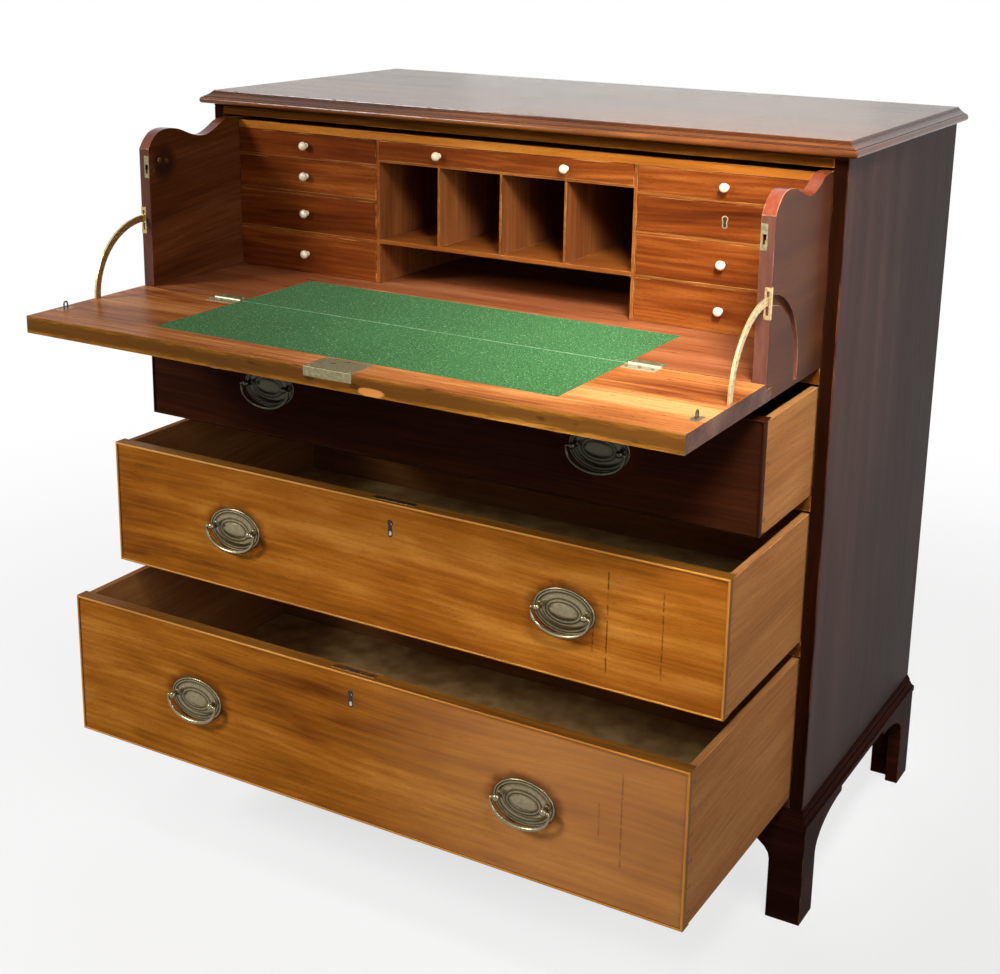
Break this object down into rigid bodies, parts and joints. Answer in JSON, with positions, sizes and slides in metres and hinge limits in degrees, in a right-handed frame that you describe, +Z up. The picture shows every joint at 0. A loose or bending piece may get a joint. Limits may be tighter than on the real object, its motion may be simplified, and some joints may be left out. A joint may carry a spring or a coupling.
{
  "type": "secretaire chest of drawers",
  "caption": "Free-standing chest of drawers on bracket feet; its top drawer pulls out as a writing desk with a hinged fall, small drawers and pigeonholes.",
  "frame": {"origin": "on the floor, under the centre of the chest's box as it stands open", "axes": "+Z up, -Y towards the front, where the drawers come out, +X to the right as seen from the front"},
  "size_m": [1.031, 0.9176, 1.0885],
  "materials": {
    "dark_mahogany": "satin, dark polished",
    "red_mahogany": "satin, polished",
    "honey_mahogany": "satin, polished",
    "drawer_oak": "matt, unpolished",
    "green_baize": "matt wool",
    "old_brass": "worn satin",
    "ivory_knob": "satin",
    "aged_paper": "matt"
  },
  "bodies": {
    "carcase": {"top_board": "dark_mahogany", "base_board": "dark_mahogany", "left_side": "dark_mahogany", "right_side": "dark_mahogany", "back_panel": "drawer_oak", "rail_lower": "honey_mahogany", "rail_middle": "honey_mahogany", "rail_upper": "honey_mahogany", "foot_front_left": "dark_mahogany", "foot_front_right": "dark_mahogany", "foot_rear_left": "dark_mahogany", "foot_rear_right": "dark_mahogany"},
    "lower_drawer": {"lower_drawer_front": "honey_mahogany", "lower_drawer_box": "drawer_oak", "lower_drawer_left_plate": "old_brass", "lower_drawer_right_plate": "old_brass"},
    "lower_drawer_left_bail": {"lower_drawer_left_bail": "old_brass"},
    "lower_drawer_right_bail": {"lower_drawer_right_bail": "old_brass"},
    "middle_drawer": {"middle_drawer_front": "honey_mahogany", "middle_drawer_box": "drawer_oak", "middle_drawer_left_plate": "old_brass", "middle_drawer_right_plate": "old_brass"},
    "middle_drawer_left_bail": {"middle_drawer_left_bail": "old_brass"},
    "middle_drawer_right_bail": {"middle_drawer_right_bail": "old_brass"},
    "upper_drawer": {"upper_drawer_front": "honey_mahogany", "upper_drawer_box": "drawer_oak", "upper_drawer_left_plate": "old_brass", "upper_drawer_right_plate": "old_brass"},
    "upper_drawer_left_bail": {"upper_drawer_left_bail": "old_brass"},
    "upper_drawer_right_bail": {"upper_drawer_right_bail": "old_brass"},
    "secretaire": {"writing_bed": "honey_mahogany", "baize_rear": "green_baize", "wing_left": "red_mahogany", "wing_right": "red_mahogany", "nest_case": "red_mahogany", "nest_stack_left": "red_mahogany", "nest_stack_right": "red_mahogany", "pigeonholes": "red_mahogany"},
    "fall": {"fall_board": "honey_mahogany", "baize_front": "green_baize", "lock_plate": "old_brass", "quadrant_left": "old_brass", "quadrant_right": "old_brass", "fall_hinge_left": "old_brass", "fall_hinge_right": "old_brass", "fall_left_plate": "old_brass", "fall_right_plate": "old_brass"},
    "fall_left_bail": {"fall_left_bail": "old_brass"},
    "fall_right_bail": {"fall_right_bail": "old_brass"},
    "catch_button_left": {"catch_button_left": "old_brass"},
    "catch_button_right": {"catch_button_right": "old_brass"},
    "small_drawer_left_1": {"small_drawer_left_1": "red_mahogany"},
    "small_drawer_left_2": {"small_drawer_left_2": "red_mahogany"},
    "small_drawer_left_3": {"small_drawer_left_3": "red_mahogany"},
    "small_drawer_left_4": {"small_drawer_left_4": "red_mahogany"},
    "small_drawer_centre": {"small_drawer_centre": "red_mahogany"},
    "small_drawer_right_1": {"small_drawer_right_1": "red_mahogany"},
    "small_drawer_right_2": {"small_drawer_right_2": "red_mahogany"},
    "small_drawer_right_3": {"small_drawer_right_3": "red_mahogany"},
    "small_drawer_right_4": {"small_drawer_right_4": "red_mahogany"}
  },
  "joints": [
    {"name": "lower_drawer_slide", "type": "slide", "parent": "carcase", "child": "lower_drawer", "axis": [0, -1, 0], "range_m": [-0.358, 0.02]},
    {"name": "middle_drawer_slide", "type": "slide", "parent": "carcase", "child": "middle_drawer", "axis": [0, -1, 0], "range_m": [-0.265, 0.075]},
    {"name": "upper_drawer_slide", "type": "slide", "parent": "carcase", "child": "upper_drawer", "axis": [0, -1, 0], "range_m": [-0.181, 0.079]},
    {"name": "secretaire_slide", "type": "slide", "parent": "carcase", "child": "secretaire", "axis": [0, -1, 0], "range_m": [-0.2145, 0]},
    {"name": "fall_hinge", "type": "hinge", "parent": "secretaire", "child": "fall", "pos_m": [0, -0.22825, 0.8215], "axis": [-1, 0, 0], "range_deg": [0, 90]},
    {"name": "lower_drawer_left_bail_swing", "type": "hinge", "parent": "lower_drawer", "child": "lower_drawer_left_bail", "pos_m": [-0.262, -0.40805, 0.2915], "axis": [-1, 0, 0], "range_deg": [0, 175]},
    {"name": "lower_drawer_right_bail_swing", "type": "hinge", "parent": "lower_drawer", "child": "lower_drawer_right_bail", "pos_m": [0.262, -0.40805, 0.2915], "axis": [-1, 0, 0], "range_deg": [0, 175]},
    {"name": "middle_drawer_left_bail_swing", "type": "hinge", "parent": "middle_drawer", "child": "middle_drawer_left_bail", "pos_m": [-0.262, -0.31505, 0.5125], "axis": [-1, 0, 0], "range_deg": [0, 175]},
    {"name": "middle_drawer_right_bail_swing", "type": "hinge", "parent": "middle_drawer", "child": "middle_drawer_right_bail", "pos_m": [0.262, -0.31505, 0.5125], "axis": [-1, 0, 0], "range_deg": [0, 175]},
    {"name": "upper_drawer_left_bail_swing", "type": "hinge", "parent": "upper_drawer", "child": "upper_drawer_left_bail", "pos_m": [-0.262, -0.23105, 0.70225], "axis": [-1, 0, 0], "range_deg": [0, 175]},
    {"name": "upper_drawer_right_bail_swing", "type": "hinge", "parent": "upper_drawer", "child": "upper_drawer_right_bail", "pos_m": [0.262, -0.23105, 0.70225], "axis": [-1, 0, 0], "range_deg": [0, 175]},
    {"name": "fall_left_bail_swing", "type": "hinge", "parent": "fall", "child": "fall_left_bail", "pos_m": [-0.262, -0.335, 0.7867], "axis": [-1, 0, 0], "range_deg": [-90, 90]},
    {"name": "fall_right_bail_swing", "type": "hinge", "parent": "fall", "child": "fall_right_bail", "pos_m": [0.262, -0.335, 0.7867], "axis": [-1, 0, 0], "range_deg": [-90, 90]},
    {"name": "catch_button_left_press", "type": "slide", "parent": "secretaire", "child": "catch_button_left", "axis": [-1, 0, 0], "range_m": [0, 0.002], "stiffness_N_per_m": 300},
    {"name": "catch_button_right_press", "type": "slide", "parent": "secretaire", "child": "catch_button_right", "axis": [1, 0, 0], "range_m": [0, 0.002], "stiffness_N_per_m": 300},
    {"name": "small_drawer_left_1_slide", "type": "slide", "parent": "secretaire", "child": "small_drawer_left_1", "axis": [0, -1, 0], "range_m": [0, 0.17]},
    {"name": "small_drawer_left_2_slide", "type": "slide", "parent": "secretaire", "child": "small_drawer_left_2", "axis": [0, -1, 0], "range_m": [0, 0.17]},
    {"name": "small_drawer_left_3_slide", "type": "slide", "parent": "secretaire", "child": "small_drawer_left_3", "axis": [0, -1, 0], "range_m": [0, 0.17]},
    {"name": "small_drawer_left_4_slide", "type": "slide", "parent": "secretaire", "child": "small_drawer_left_4", "axis": [0, -1, 0], "range_m": [0, 0.17]},
    {"name": "small_drawer_centre_slide", "type": "slide", "parent": "secretaire", "child": "small_drawer_centre", "axis": [0, -1, 0], "range_m": [0, 0.17]},
    {"name": "small_drawer_right_1_slide", "type": "slide", "parent": "secretaire", "child": "small_drawer_right_1", "axis": [0, -1, 0], "range_m": [0, 0.17]},
    {"name": "small_drawer_right_2_slide", "type": "slide", "parent": "secretaire", "child": "small_drawer_right_2", "axis": [0, -1, 0], "range_m": [0, 0.17]},
    {"name": "small_drawer_right_3_slide", "type": "slide", "parent": "secretaire", "child": "small_drawer_right_3", "axis": [0, -1, 0], "range_m": [0, 0.17]},
    {"name": "small_drawer_right_4_slide", "type": "slide", "parent": "secretaire", "child": "small_drawer_right_4", "axis": [0, -1, 0], "range_m": [0, 0.17]}
  ]
}
